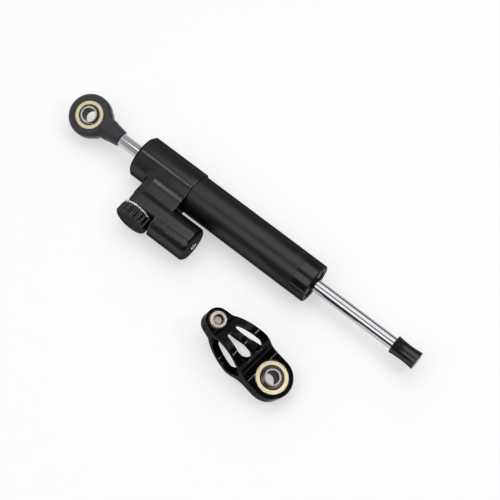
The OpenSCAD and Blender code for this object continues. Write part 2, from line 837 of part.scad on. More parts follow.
module clamp_body() {
    slot_from = [-7, 3.3];
    slot_to = [6.6, 4.4];
    slot_r = [1.4, 3.5];
    color("#0e0f10") on_clamp() difference() {
        intersection() {
            clamp_profile();
            clamp_plan();
        }
        rotate([90, 0, 0]) cylinder(h = 3 * lug_r, r = barrel_r, center = true);
        translate([-screw_reach - ear_r - 1, -lug_r, -split_w / 2]) cube([screw_reach, 2 * lug_r, split_w]);
        for (side = [0, 1]) mirror([0, side, 0]) linear_extrude(clamp_tall, center = true)
            two_circles(slot_from, slot_r[0], slot_to, slot_r[1]);
        translate([bearing_reach, 0, 0]) {
            post(-clamp_race_h, lug_h + 1, clamp_race_r);
            post(-lug_h - 1, lug_h + 1, clamp_race_r - 0.5);
            post(-clamp_race_h - ring_groove_w, -clamp_race_h + eps, ring_groove);
        }
        translate([-screw_reach, 0, 0]) {
            post(0, ear_h + 1, clamp_screw_r + 0.3);
            post(-ear_h - 1, 0, clamp_screw_r);
            post(clamp_head_z, ear_h + 1, clamp_head_r + 0.35);
        }
    }
}

module clamp_race() {
    color("#e3d29c") on_clamp() translate([bearing_reach, 0, 0])
        ball_race(clamp_race_r, clamp_race_in, clamp_race_h);
}

module clamp_circlip() {
    color("#4b4d50") on_clamp() translate([bearing_reach, 0, -clamp_race_h - ring_groove_w]) difference() {
        cylinder(h = ring_groove_w, r = ring_groove);
        translate([0, 0, -1]) cylinder(h = 3, r = 8.8);
        translate([5, -1.2, -1]) cube([8, 2.4, 3]);
    }
}

module clamp_screw() {
    rim_z = clamp_head_z + 3.5;
    color("#dcd8cf") on_clamp() translate([-screw_reach, 0, 0]) difference() {
        union() {
            post(-ear_h + 0.5, clamp_head_z, clamp_screw_r);
            post(clamp_head_z - eps, rim_z, clamp_head_r);
            translate([0, 0, rim_z - eps]) cylinder(h = 0.5, r1 = clamp_head_r, r2 = clamp_head_r - 0.5);
        }
        translate([0, 0, rim_z - 1.9]) cylinder(h = 4, r = 2.5 / cos(30), $fn = 6);
    }
}

module clamp_liner() {
    color("#6b6257") on_clamp() translate([bearing_reach, 0, 0])
        ball_liner(clamp_ball_r + run_gap, clamp_race_h - 0.5);
}

module clamp_ball() {
    color("#d6d3cc") on_clamp() translate([bearing_reach, 0, 0]) bored_ball(clamp_ball_r, clamp_ball_h);
}

barrel_tube();
pressure_tube();
valve_head();
rear_gland();
rear_bush();
rear_rod_seal();
rear_wiper();
rear_gland_oring();
barrel_oring();
end_gland();
front_bush();
front_rod_seal();
front_wiper();
end_gland_oring();
wiper_plate();
gland_circlip();
adjuster_bush();
spindle_oring();
click_ring();
end_plug();
end_plug_oring();
bleed_screw();
compensator_piston();
compensator_oring();
needle_valve();
needle_oring();
adjuster_spindle();
adjuster_knob();
knob_grub_screw();
detent_ball();
detent_spring();
piston_ring();
damper_rod();
piston();
piston_circlips();
rod_end_housing();
rod_end_race();
rod_cap();
rod_end_liner();
rod_end_ball();
clamp_body();
clamp_race();
clamp_circlip();
clamp_screw();
clamp_liner();
clamp_ball();
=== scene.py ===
import math

import bpy
import numpy as np
from mathutils import Matrix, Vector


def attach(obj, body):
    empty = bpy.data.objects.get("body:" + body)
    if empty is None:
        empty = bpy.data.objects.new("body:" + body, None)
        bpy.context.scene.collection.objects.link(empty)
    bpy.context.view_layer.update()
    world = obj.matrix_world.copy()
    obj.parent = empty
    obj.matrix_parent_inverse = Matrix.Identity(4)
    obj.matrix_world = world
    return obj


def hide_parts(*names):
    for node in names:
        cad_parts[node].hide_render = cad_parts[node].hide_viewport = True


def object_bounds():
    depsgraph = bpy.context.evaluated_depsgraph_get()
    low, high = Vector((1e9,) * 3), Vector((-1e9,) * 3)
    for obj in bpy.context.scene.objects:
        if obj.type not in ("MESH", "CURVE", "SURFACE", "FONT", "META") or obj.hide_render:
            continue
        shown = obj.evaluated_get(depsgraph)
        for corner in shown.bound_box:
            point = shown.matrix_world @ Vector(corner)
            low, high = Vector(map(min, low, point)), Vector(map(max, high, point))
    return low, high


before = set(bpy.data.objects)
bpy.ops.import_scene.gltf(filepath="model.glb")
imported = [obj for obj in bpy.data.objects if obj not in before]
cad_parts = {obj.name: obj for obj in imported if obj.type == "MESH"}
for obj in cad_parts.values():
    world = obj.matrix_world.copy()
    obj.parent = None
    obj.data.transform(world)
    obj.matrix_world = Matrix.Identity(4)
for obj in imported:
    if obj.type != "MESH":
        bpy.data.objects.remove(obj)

cad_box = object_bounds()

# Studio floor: a wide matt white sheet that the damper and its clamp lie on. To the camera and in reflections
# about half its white is its own glow, so it stays paper white and the object's shadow on it is faint.
MM = 0.001
MICRON = MM / 1000
FLOOR_Z = cad_box[0][2]
FLOOR_HALF, FLOOR_GLOW = 12.0, 0.5


def srgb(code):
    """An sRGB hex colour turned to the linear values that a shader takes, with alpha 1."""
    part = np.array([int(code[i:i + 2], 16) for i in (1, 3, 5)]) / 255
    linear = np.where(part <= 0.04045, part / 12.92, ((part + 0.055) / 1.055) ** 2.4)
    return (*(float(c) for c in linear), 1.0)


def add(material, kind, inputs=None, **settings):
    """Adds one node: settings are its own properties, inputs are values, hex colours or output sockets."""
    made = material.node_tree.nodes.new("ShaderNode" + kind)
    for key, value in settings.items():
        setattr(made, key, value)
    for key, value in (inputs or {}).items():
        if isinstance(value, bpy.types.NodeSocket):
            material.node_tree.links.new(value, made.inputs[key])
        else:
            made.inputs[key].default_value = srgb(value) if isinstance(value, str) else value
    return made


def combine(material, operation, first, second):
    """Two values put together by one step of arithmetic."""
    return add(material, "Math", {0: first, 1: second}, operation=operation).outputs[0]


def tone_between(material, share, first, second):
    """A colour between two, by a share from 0 to 1."""
    return add(material, "Mix", {0: share, 6: first, 7: second}, data_type="RGBA").outputs[2]


def blank(name):
    """A new material with an empty node tree."""
    material = bpy.data.materials.new(name)
    material.use_nodes = True
    material.node_tree.nodes.clear()
    return material


def surface(material, inputs, bump=None, depth_um=0.0):
    """Ends a material with one Principled surface, and a bump whose depth is given in thousandths of a mm."""
    inputs = dict(inputs)
    if bump is not None:
        raised = add(material, "Bump", {"Strength": 1.0, "Distance": depth_um * MICRON, "Height": bump})
        inputs["Normal"] = raised.outputs[0]
    shader = add(material, "BsdfPrincipled", inputs)
    add(material, "OutputMaterial", {"Surface": shader.outputs[0]})
    return material


paper = blank("floor_paper")
ray = add(paper, "LightPath").outputs
seen = combine(paper, "MAXIMUM", ray["Is Camera Ray"], ray["Is Glossy Ray"])
seen = combine(paper, "MAXIMUM", seen, ray["Is Transmission Ray"])
surface(paper, {"Base Color": tone_between(paper, seen, "#F4F4F4", "#BBBBBB"), "Roughness": 1.0,
                "Specular IOR Level": 0.0, "Emission Color": "#FFFFFF",
                "Emission Strength": combine(paper, "MULTIPLY", seen, FLOOR_GLOW)})

floor_mesh = bpy.data.meshes.new("floor")
floor_mesh.from_pydata([(x * FLOOR_HALF, y * FLOOR_HALF, FLOOR_Z)
                        for x, y in ((-1, -1), (1, -1), (1, 1), (-1, 1))], [], [(0, 1, 2, 3)])
floor_mesh.materials.append(paper)
floor = bpy.data.objects.new("floor", floor_mesh)
bpy.context.collection.objects.link(floor)

# Studio light: two soft boxes above, one on each side of the barrel, a bright strip over the head, a card
# over its arm, one over the bare rod, and a small lamp that glints in the clamp's ribs. A wide white sheet
# overhead lights all evenly, but is kept out of reflections, as a polarised light is.
LAMP_REACH = 0.70
# Each lamp: name, lean from straight up in degrees, width, start and end along the rod in metres, radiance.
LAMPS = (("soft_box_back", 23.5, 0.58, -0.085, 0.22, 1.4),
         ("soft_box_front", -36, 0.42, -0.085, 0.20, 1.55),
         ("head_strip", -3.4, 0.09, -0.17, -0.085, 4.6),
         ("arm_card", 19, 0.24, -0.135, -0.085, 0.75),
         ("rod_card", 50, 0.10, 0.06, 0.20, 1.2),
         ("rib_lamp", 12, 0.24, 0.515, 0.565, 20.0))
SHEET_X, SHEET_Z, SHEET_SIZE, SHEET_RADIANCE = 0.1, 2.4, 3.6, 0.95


def stretch(material, value, low, high, to_low, to_high, **settings):
    """A value moved from the range low to high into the range to_low to to_high, and held there."""
    moved = add(material, "MapRange", {"Value": value, "From Min": low, "From Max": high, "To Min": to_low,
                                       "To Max": to_high}, **settings)
    return moved.outputs[0]


# The room is dim, darkest low on the knob's side and far right, and paler beyond the rod end. Each line says
# between which two directions the room changes, and how bright, or what share as bright, it is at both.
room = bpy.data.worlds.new("room")
bpy.context.scene.world = room
room.use_nodes = True
room.node_tree.nodes.clear()
way = add(room, "SeparateXYZ", {0: add(room, "TexCoord").outputs["Generated"]}).outputs
beyond = stretch(room, way[0], -0.245, -0.28, 0.0, 0.65, interpolation_type="SMOOTHSTEP")
low_front = stretch(room, way[1], -0.72, -0.9, 0.17, 0.05, interpolation_type="SMOOTHSTEP")
far_right = stretch(room, way[0], 0.05, 0.25, 1.0, 0.4, interpolation_type="SMOOTHSTEP")
dim = combine(room, "MAXIMUM", combine(room, "MULTIPLY", low_front, far_right), beyond)
sky = add(room, "Background", {"Color": "#FDFDFF", "Strength": dim})
add(room, "OutputWorld", {"Surface": sky.outputs[0]})


def soft_box(name, length, width, radiance):
    """A rectangular lamp with the given radiance: a flat lamp's power is radiance times pi times its area."""
    lamp_data = bpy.data.lights.new(name, "AREA")
    lamp_data.shape = "RECTANGLE"
    lamp_data.size, lamp_data.size_y = length, width
    lamp_data.energy = radiance * math.pi * length * width
    lamp = bpy.data.objects.new(name, lamp_data)
    bpy.context.collection.objects.link(lamp)
    return lamp


for lamp_name, lean, width, start, end, radiance in LAMPS:
    lamp = soft_box(lamp_name, end - start, width, radiance)
    lean = math.radians(lean)
    lamp.location = ((start + end) / 2, LAMP_REACH * math.sin(lean), LAMP_REACH * math.cos(lean))
    lamp.rotation_euler = (-lean, 0, 0)
sheet = soft_box("overhead_sheet", SHEET_SIZE, SHEET_SIZE, SHEET_RADIANCE)
sheet.location = (SHEET_X, 0, SHEET_Z)
sheet.visible_glossy = False

# Camera: a long lens above the left front, rolled a little, which puts the rod on the photograph's slant.
# Its place was found by fitting the printed sizes and the round edges of the photograph.
CAMERA_AT = (0.32539, -0.36705, 0.95945)
CAMERA_AZIMUTH = math.radians(28.97)
CAMERA_HEIGHT = math.radians(66.79)
CAMERA_ROLL = math.radians(10.03)
LENS = 129.6

camera_data = bpy.data.cameras.new("camera")
camera_data.sensor_fit = "HORIZONTAL"
camera_data.sensor_width = 36
camera_data.lens = LENS
camera_data.clip_start = 0.05
camera_data.clip_end = 60
camera = bpy.data.objects.new("camera", camera_data)
bpy.context.collection.objects.link(camera)
camera_back = np.array((math.sin(CAMERA_AZIMUTH) * math.cos(CAMERA_HEIGHT),
                        -math.cos(CAMERA_AZIMUTH) * math.cos(CAMERA_HEIGHT), math.sin(CAMERA_HEIGHT)))
level_right = np.array((math.cos(CAMERA_AZIMUTH), math.sin(CAMERA_AZIMUTH), 0))
level_up = np.cross(camera_back, level_right)
camera_right = math.cos(CAMERA_ROLL) * level_right + math.sin(CAMERA_ROLL) * level_up
camera_up = np.cross(camera_back, camera_right)
camera_matrix = np.eye(4)
camera_matrix[:3, 0], camera_matrix[:3, 1], camera_matrix[:3, 2] = camera_right, camera_up, camera_back
camera_matrix[:3, 3] = CAMERA_AT
camera.matrix_world = Matrix(camera_matrix.tolist())
bpy.context.scene.camera = camera
bpy.context.scene.view_settings.view_transform = "Standard"

# Chromed rod: 8 mm steel bar, ground, hard chromed and polished. It goes right through the barrel, from a
# thinner stud in the rod end to a thinner stud in the rod cap, with two grooves for the piston's clips.
ROD_R = 4.0
STUD_R, STUD_X0, SHANK_X = 3.4, 14.4, 23.6
CAP_X0, CAP_X1, CAP_STUD_R, CAP_STUD_L = 225.5, 241.8, 3.0, 10.5
CLIP_R, CLIP_W, CLIP_X = 3.4, 1.0, (120.0, 133.0)
BARREL_AXIS = (np.zeros(3), np.eye(3))
SHARP = 0.02


def fillet(corners, radii, steps=5):
    """A closed outline with each corner made an arc that is tangent to its two sides.

    corners is N points (along, radius) and radii N radii, SHARP at least. Each arc turns by equal angles from
    the normal of one side to the normal of the next, so its normals are exact. The outline runs clockwise,
    with the metal on its right. Returns the points, their outward normals, and a mark for wear and painted
    edge highlights that is 1 in the arcs of outward corners, and 0 at the arcs' ends, so that the sides
    between them get neither.
    """
    corners = np.asarray(corners, float)
    radii = np.maximum(np.asarray(radii, float), SHARP)[:, None]
    back = np.roll(corners, 1, 0) - corners
    ahead = np.roll(corners, -1, 0) - corners
    back /= np.linalg.norm(back, axis=1, keepdims=True)
    ahead /= np.linalg.norm(ahead, axis=1, keepdims=True)
    half = np.arccos(np.clip((back * ahead).sum(1, keepdims=True), -1, 1)) / 2
    middle = (back + ahead) / np.linalg.norm(back + ahead, axis=1, keepdims=True)
    centre = corners + middle * radii / np.sin(half)
    first = corners + back * radii / np.tan(half) - centre
    last = corners + ahead * radii / np.tan(half) - centre
    sweep = (math.pi - 2 * half)[:, None]
    share = np.linspace(0, 1, steps)[None, :, None]
    arc = np.sin((1 - share) * sweep) * first[:, None] + np.sin(share * sweep) * last[:, None]
    arc /= np.sin(sweep)
    turn = back[:, 0] * ahead[:, 1] - back[:, 1] * ahead[:, 0]
    outward = np.where(turn > 0, 1.0, -1.0)[:, None, None]
    points = (centre[:, None] + arc).reshape(-1, 2)
    normals = (outward * arc / radii[:, None]).reshape(-1, 2)
    worn_and_glinting = (outward > 0) & (share > 0) & (share < 1)
    return points, normals, worn_and_glinting.reshape(-1).astype(float)


def build(name, points, faces, normals, marks, frame_of):
    """A mesh object from points in a piece's own frame, in mm, that go to the shared frame in metres.

    Faces are turned outwards by the sign of the volume that they close. The normals are the exact ones of
    the surface's formula, and marks says how much of an outer edge each point is, for wear and painted edge
    highlights. The distance off the piece's own axis, its first, is kept too, in mm, for finishes and painted
    shade that change from bore to rim.
    """
    origin, axes = frame_of
    off_axis = np.hypot(points[:, 1], points[:, 2])
    points = origin + points @ axes
    fan = np.vstack([faces[:, [0, 1, 2]], faces[:, [0, 2, 3]]])
    corner = points[fan] - points.mean(0)
    if (corner[:, 0] * np.cross(corner[:, 1], corner[:, 2])).sum() < 0:
        faces = faces[:, ::-1]
    mesh = bpy.data.meshes.new(name)
    mesh.from_pydata((points * MM).tolist(), [], [list(dict.fromkeys(face)) for face in faces.tolist()])
    mesh.shade_smooth()
    mesh.normals_split_custom_set_from_vertices((normals @ axes).tolist())
    for kept, values in (("edge", marks), ("off_axis", off_axis)):
        mesh.attributes.new(kept, "FLOAT", "POINT").data.foreach_set("value", values.astype(np.float32))
    made = bpy.data.objects.new(name, mesh)
    bpy.context.collection.objects.link(made)
    return made


def lathe(name, corners, radii, frame_of, turns=128, steps=5):
    """A turned piece: a filleted outline (along, radius) carried once round the axis in equal turns.

    Where the outline starts and ends on the axis, as a solid bar's does, it is first drawn 1 mm past the
    axis, so that it crosses it square, and each end then closes in one point.
    """
    corners = np.asarray(corners, float)
    solid = corners[0, 1] == 0 and corners[-1, 1] == 0
    ends = corners[[0, -1]]
    if solid:
        corners[[0, -1], 1] = -1
    points, normals, marks = fillet(corners, radii, steps)
    if solid:
        points, normals, marks = (part[steps:-steps] for part in (points, normals, marks))
    angle = np.arange(turns) / turns * math.tau
    ray = np.stack([np.zeros(turns), np.cos(angle), np.sin(angle)], 1)
    along = np.array([1.0, 0, 0])
    skin_points = (points[:, None, :1] * along + points[:, None, 1:] * ray).reshape(-1, 3)
    skin_normals = (normals[:, None, :1] * along + normals[:, None, 1:] * ray).reshape(-1, 3)
    marks = np.repeat(marks, turns)
    rows = len(points)
    row, column = np.meshgrid(np.arange(rows - solid), np.arange(turns), indexing="ij")
    below, beside = (row + 1) % rows, (column + 1) % turns
    faces = np.stack([row * turns + column, below * turns + column, below * turns + beside,
                      row * turns + beside], -1).reshape(-1, 4)
    if solid:
        here = np.arange(turns)
        after, low, high = (here + 1) % turns, rows * turns, rows * turns + 1
        far = (rows - 1) * turns
        faces = np.vstack([faces, np.stack([0 * here + low, here, after, after], 1),
                           np.stack([0 * here + high, far + after, far + here, far + here], 1)])
        skin_points = np.vstack([skin_points, [[ends[0, 0], 0, 0], [ends[1, 0], 0, 0]]])
        skin_normals = np.vstack([skin_normals, [[normals[0, 0], 0, 0], [normals[-1, 0], 0, 0]]])
        marks = np.concatenate([marks, [0, 0]])
    return build(name, skin_points, faces, skin_normals, marks, frame_of)


def finish(piece, material, body, slot, *replaced):
    """Gives a new piece its material and its body, and hides the CAD nodes that it stands for. The slot is
    not used.
    """
    piece.data.materials.append(material)
    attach(piece, body)
    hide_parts(*replaced)


def grain(material, size_mm, detail=2.0, stretched=(1, 1, 1)):
    """Noise whose grains are about size_mm across in the piece's own place, drawn out along chosen axes."""
    place = add(material, "TexCoord").outputs["Object"]
    drawn = add(material, "Mapping", {"Vector": place, "Scale": stretched})
    noise = add(material, "TexNoise", {"Vector": drawn.outputs[0], "Scale": 1000 / size_mm, "Detail": detail})
    return noise.outputs["Fac"]


# Hard chrome: near-white metal on a bar that was ground as it turned, so its faint lines run round it.
chrome = blank("hard_chrome")
chrome_smears = grain(chrome, 9, 3.0)
surface(chrome, {"Base Color": tone_between(chrome, chrome_smears, "#B8B9BC", "#C6C7CA"), "Metallic": 1.0,
                 "Roughness": stretch(chrome, chrome_smears, 0.35, 0.7, 0.05, 0.12)},
        grain(chrome, 0.12, stretched=(1, 0.06, 0.06)), 0.5)

clip_grooves = [(x + along, out) for x in CLIP_X
                for along, out in ((0, ROD_R), (0, CLIP_R), (CLIP_W, CLIP_R), (CLIP_W, ROD_R))]
rod_x1 = CAP_X0 + CAP_STUD_L
rod = lathe("chromed_rod",
            [(STUD_X0, 0), (STUD_X0, STUD_R), (SHANK_X, STUD_R), (SHANK_X, ROD_R), *clip_grooves,
             (CAP_X0, ROD_R), (CAP_X0, CAP_STUD_R), (rod_x1, CAP_STUD_R), (rod_x1, 0)],
            [SHARP, 0.3, 0.05, 0.25, *[0.05] * 8, 0.25, 0.05, 0.3, SHARP], BARREL_AXIS)
finish(rod, chrome, "rod", "chrome", "damper_rod")

# Piston with its sliding ring and two clips: turned from aluminium, held between clips that snap into the
# rod's grooves. The ring that slides in the pressure tube is filled plastic. All are inside the barrel.


def dress(material, *names):
    """Gives this material to nodes whose CAD shape is already right."""
    for name in names:
        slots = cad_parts[name].data.materials
        slots.clear()
        slots.append(material)


def turned_metal(name, darker, lighter, smooth, rough, line_mm, depth_um, metallic=1.0):
    """A machined finish: fine lines for height, and broad smudges of handling that change gloss and tone."""
    metal = blank(name)
    smudge = grain(metal, 5, 4.0)
    return surface(metal, {"Base Color": tone_between(metal, smudge, darker, lighter), "Metallic": metallic,
                           "Roughness": stretch(metal, smudge, 0.35, 0.65, smooth, rough)},
                   grain(metal, line_mm), depth_um)


turned_aluminium = turned_metal("turned_aluminium", "#B4B7BB", "#C6C8CB", 0.24, 0.42, line_mm=0.12,
                                depth_um=3)
clip_steel = turned_metal("phosphated_clip_steel", "#3A3B3D", "#56585B", 0.35, 0.6, line_mm=0.25,
                          depth_um=4)
sliding_plastic = turned_metal("filled_sliding_plastic", "#4A4036", "#5E5245", 0.45, 0.62, line_mm=0.4,
                               depth_um=4, metallic=0.0)
dress(turned_aluminium, "piston")
dress(clip_steel, "piston_circlips")
dress(sliding_plastic, "piston_ring")

# Pressure tube: honed steel, pressed between the two glands. The piston slides in it, and the oil goes back
# round its outside.
ground_steel = turned_metal("ground_steel", "#A2A5A9", "#BCBEC2", 0.14, 0.3, line_mm=0.1, depth_um=2)
dress(ground_steel, "pressure_tube")

# Barrel tube: a 25 mm aluminium tube, fine blasted and anodised black. Its thinner end is pressed into the
# valve head, and the end collar closes the other.
BARREL = ((64.0, 12.0), (78.8, 12.0), (78.8, 12.5), (157.0, 12.5), (157.0, 10.6), (64.0, 10.6))


def edge_wear_and_glint(material, patch_mm, low, high, most):
    """How much an edge is rubbed and painted pale as a highlight: its mark times a coarse noise, so that both
    break up as wear does in use.
    """
    mark = add(material, "Attribute", attribute_name="edge").outputs["Fac"]
    patches = stretch(material, grain(material, patch_mm, 4.0), low, high, 0.0, most)
    return combine(material, "MULTIPLY", mark, patches)


def black_anodised(name, tones, worn_and_glinting, smooth, rough, grain_mm, depth_um, wear_and_glint_share, metallic=0.88,
                   glance="#6C6C6C"):
    """Blasted and anodised aluminium: fine grain in the height, cloudy gloss, and edges painted paler, partly
    as rubbing and partly as a painted highlight along them.

    The blasted metal shows through the dyed layer, and its pits keep it dark where it is seen at a glance.
    """
    black = blank(name)
    cloud = grain(black, 7, 4.0)
    cloudy = tone_between(black, cloud, *tones)
    rubbed_and_glint_share = edge_wear_and_glint(black, 1.3, 0.42, 0.72, wear_and_glint_share)
    return surface(black, {"Base Color": tone_between(black, rubbed_and_glint_share, cloudy, worn_and_glinting), "Metallic": metallic,
                           "Specular Tint": glance,
                           "Roughness": stretch(black, cloud, 0.3, 0.7, smooth, rough)},
                   grain(black, grain_mm), depth_um)


barrel_black = black_anodised("barrel_black_anodised", ("#363637", "#3F3F40"), "#6A6A6B", 0.28, 0.35,
                              grain_mm=0.5, depth_um=4, wear_and_glint_share=0.4)
finish(lathe("barrel", BARREL, [0.2, 0.05, 0.1, 0.05, 0.2, 0.2], BARREL_AXIS), barrel_black,
       "barrel", "barrel_black", "barrel_tube")

# Valve head: milled from one aluminium block and anodised black. A cylinder holds barrel and rear gland, an
# arm with hollow corners carries a second barrel beside it, with flats and long grooves, for the adjuster.
HEAD_X0, HEAD_X1, HEAD_R, HEAD_BEVEL = 39.4, 78.8, 13.5, 1.8
ARM_X0, ARM_H, SLOPE_L, SLOPE_H = 53.1, 9.5, 3.0, 1.2
HOLLOW_R, CORNER_R, CORNER_L, CORNER_FADE = 22.0, 2.6, 9, 4
ADJUSTER_Y, ADJUSTER_R, ADJUSTER_X1, FLAT_H, ADJUSTER_BEVEL = -26.4, 11.1, 99.1, 10.75, 1.4
SEAT_D, SEAT_X1 = 30.2, 73.2
KNOB_X = 61.3
GROOVE_TURN, GROOVE_HALF, GROOVE_FLOOR = 28.5, 1.25, 10.4
# Bores for barrel and rod, then port, needle and bush under the knob, then compensator piston and its plug.
# Each has a radius and the place where it starts, or its middle and half its length.
BARREL_BORE, BARREL_X, ROD_BORE, ROD_X = 12.0, 42.6, 4.6, 43
PORT_BORE, PORT_Y, PORT_HALF = 1.2, -14, 3
NEEDLE_BORE, NEEDLE_Y, NEEDLE_HALF, LEAD_IN_Y, LEAD_IN = 3.45, -20, 3.5, -22.7, 0.4
BUSH_BORE, BUSH_Y = 5.0, -23.5
PISTON_BORE, PISTON_X, PLUG_BORE, PLUG_X = 7.4, 76, 8.2, 93.5
# A skin lies INSET mm inside its true surface. Each point of its net slides there in SLIDES steps, kept short
# by LEAST_SLOPE where the formula is flat, and stays CELL_RIM of a cell's width off the cell's sides.
INSET, SLIDES, LEAST_SLOPE, CELL_RIM = 0.03, 6, 0.2, 0.04
# A point is an edge where the metal EDGE_DEPTH mm down is thinner than under a flat face. Where it is thinner
# by EDGE_FADE mm or more, the edge mark is 1.
EDGE_DEPTH, EDGE_FADE = 0.5, 0.2


def level_and_slope(distance, points, nudge=0.02):
    """A distance function and its slope at points, from differences over a nudge, in mm, each way."""
    slope = np.stack([distance(*(points + step).T) - distance(*(points - step).T)
                      for step in np.eye(3) * nudge], 1)
    return distance(*points.T), slope / (2 * nudge)


def skin(name, distance, ticks, frame_of):
    """The surface on which a distance function is zero, as a net on the grid of ticks.

    Each grid cell that the surface crosses gets one point, which slides down the slope onto the surface. All
    is done INSET inside the true surface, so that no point of the net stands out of it.
    Each grid line that it crosses gets a four-sided face between its four cells. The slope is the normal.
    """
    inside = distance(*np.meshgrid(*ticks, indexing="ij")) < -INSET
    shape = [size - 1 for size in inside.shape]
    count = sum(inside[i:i + shape[0], j:j + shape[1], k:k + shape[2]].astype(np.int8)
                for i in (0, 1) for j in (0, 1) for k in (0, 1))
    crossed = (count > 0) & (count < 8)
    number = np.cumsum(crossed).reshape(crossed.shape) - 1
    cell = np.argwhere(crossed)
    low = np.stack([ticks[a][cell[:, a]] for a in range(3)], 1)
    high = np.stack([ticks[a][cell[:, a] + 1] for a in range(3)], 1)
    rim = CELL_RIM * (high - low)
    points = (low + high) / 2
    for _ in range(SLIDES):
        level, slope = level_and_slope(distance, points)
        steepness = np.maximum((slope ** 2).sum(1, keepdims=True), LEAST_SLOPE)
        points = np.clip(points - (level + INSET)[:, None] * slope / steepness, low + rim, high - rim)
    slope = level_and_slope(distance, points)[1]
    normals = slope / np.linalg.norm(slope, axis=1, keepdims=True)
    faces = []
    for axis in range(3):
        order = (axis, (axis + 1) % 3, (axis + 2) % 3)
        solid, cells = np.transpose(inside, order), np.transpose(number, order)
        start, end = solid[:-1, 1:-1, 1:-1], solid[1:, 1:-1, 1:-1]
        for found, way in ((start & ~end, 1), (~start & end, -1)):
            a, b, c = np.nonzero(found)
            faces.append(np.stack([cells[a, b, c], cells[a, b + 1, c], cells[a, b + 1, c + 1],
                                   cells[a, b, c + 1]], 1)[:, ::way])
    marks = np.clip((distance(*(points - EDGE_DEPTH * normals).T) + EDGE_DEPTH) / EDGE_FADE, 0, 1)
    return build(name, points, np.vstack(faces), normals, marks, frame_of)


def ticks_between(low, high, step, fine=(), fine_step=0.3):
    """Grid places from low to high, step apart, and fine_step apart within the fine stretches.

    The way is measured in stops of a quarter fine step, each of which passes its share of a grid place.
    """
    stop = fine_step / 4
    stops = np.arange(low, high + step, stop)
    close = np.zeros(len(stops), bool)
    for start, end in fine:
        close |= (stops > start) & (stops < end)
    passed = np.cumsum(np.where(close, 1 / fine_step, 1 / step) * stop)
    return np.interp(np.arange(0, passed[-1]), passed, stops)


def meet(a, b, k):
    """The overlap of two solids, its outer edge rounded with radius k."""
    return np.minimum(np.maximum(a, b), -k) + np.hypot(np.maximum(a + k, 0), np.maximum(b + k, 0))


def join(a, b, k):
    """Two solids in one, their inner corner filled with radius k."""
    return np.maximum(np.minimum(a, b), k) - np.hypot(np.maximum(k - a, 0), np.maximum(k - b, 0))


def round_bar(along, out, start, end, radius, first, last, k):
    """A round bar, bevelled at 45 degrees by first and last mm at its ends; out is how far off its axis."""
    side = out - radius
    solid = meet(side, np.maximum(start - along, along - end), k)
    solid = meet(solid, (side + start - along + first) / math.sqrt(2), k)
    return meet(solid, (side + along - end + last) / math.sqrt(2), k)


def rod_side_slope(x, flank):
    """A flat that slopes down by SLOPE_H from SLOPE_L inside the arm's edge at the rod side to that edge."""
    return (SLOPE_H * (ARM_X0 + SLOPE_L - x) + SLOPE_L * flank) / math.hypot(SLOPE_L, SLOPE_H)


def arm_ends(flank, x):
    """The arm cut off square at the barrel side, and sloped down to its edge at the rod side."""
    arm = meet(flank, np.maximum(ARM_X0 - x, x - HEAD_X1), 0.15)
    return meet(arm, rod_side_slope(x, flank), 0.8)


def head_distance(x, y, z):
    """Distance to the valve head: head, arm and adjuster barrel joined, less the bores inside.

    The needle's bore widens to its mouth, so that its O-ring goes in unhurt.
    """
    z = np.abs(z)
    out = np.hypot(y, z)
    head = round_bar(x, out, HEAD_X0, HEAD_X1, HEAD_R, HEAD_BEVEL, 0.05, 0.2)
    hollow_z = ARM_H + HOLLOW_R
    hollow_y = -math.sqrt((HEAD_R + HOLLOW_R) ** 2 - hollow_z ** 2)
    gap = np.hypot(y - hollow_y, z - hollow_z)
    past_head = (hollow_z * y - hollow_y * z) / math.hypot(hollow_y, hollow_z)
    hollow = np.maximum.reduce([HOLLOW_R - gap, hollow_y - y, past_head, gap - 1.5 * HOLLOW_R])
    arm = np.maximum.reduce([z - ARM_H, ADJUSTER_Y - y, y])
    corner_r = SHARP + CORNER_R * np.clip((ARM_X0 + CORNER_L - x) / CORNER_FADE, 0, 1)
    block = np.minimum(join(head, arm_ends(arm, x), corner_r), arm_ends(np.minimum(arm, hollow), x))
    beside = y - ADJUSTER_Y
    off = np.hypot(beside, z)
    adjuster = round_bar(x, off, ARM_X0 + 1, ADJUSTER_X1, ADJUSTER_R, 0.4, ADJUSTER_BEVEL, 0.2)
    adjuster = meet(adjuster, z - FLAT_H, 0.1)
    adjuster = meet(adjuster, rod_side_slope(x, off - ADJUSTER_R), 0.8)
    c, s = math.cos(math.radians(GROOVE_TURN)), math.sin(math.radians(GROOVE_TURN))
    groove = np.maximum(np.abs(beside * c + z * s) - GROOVE_HALF, GROOVE_FLOOR - z * c + beside * s)
    adjuster = meet(adjuster, -groove, 0.12)
    adjuster = meet(adjuster, -np.maximum(x - SEAT_X1, y + SEAT_D), 0.2)
    solid = join(block, adjuster, 0.4)
    knob_out = np.hypot(x - KNOB_X, z)
    needle = knob_out - NEEDLE_BORE - LEAD_IN * np.maximum(LEAD_IN_Y - y, 0)
    bores = np.minimum.reduce([
        np.maximum(out - BARREL_BORE, BARREL_X - x), np.maximum(out - ROD_BORE, x - ROD_X),
        np.maximum(knob_out - PORT_BORE, np.abs(y - PORT_Y) - PORT_HALF),
        np.maximum(needle, np.abs(y - NEEDLE_Y) - NEEDLE_HALF), np.maximum(knob_out - BUSH_BORE, y - BUSH_Y),
        np.maximum(off - PISTON_BORE, PISTON_X - x), np.maximum(off - PLUG_BORE, PLUG_X - x)])
    return meet(solid, -bores, 0.15)


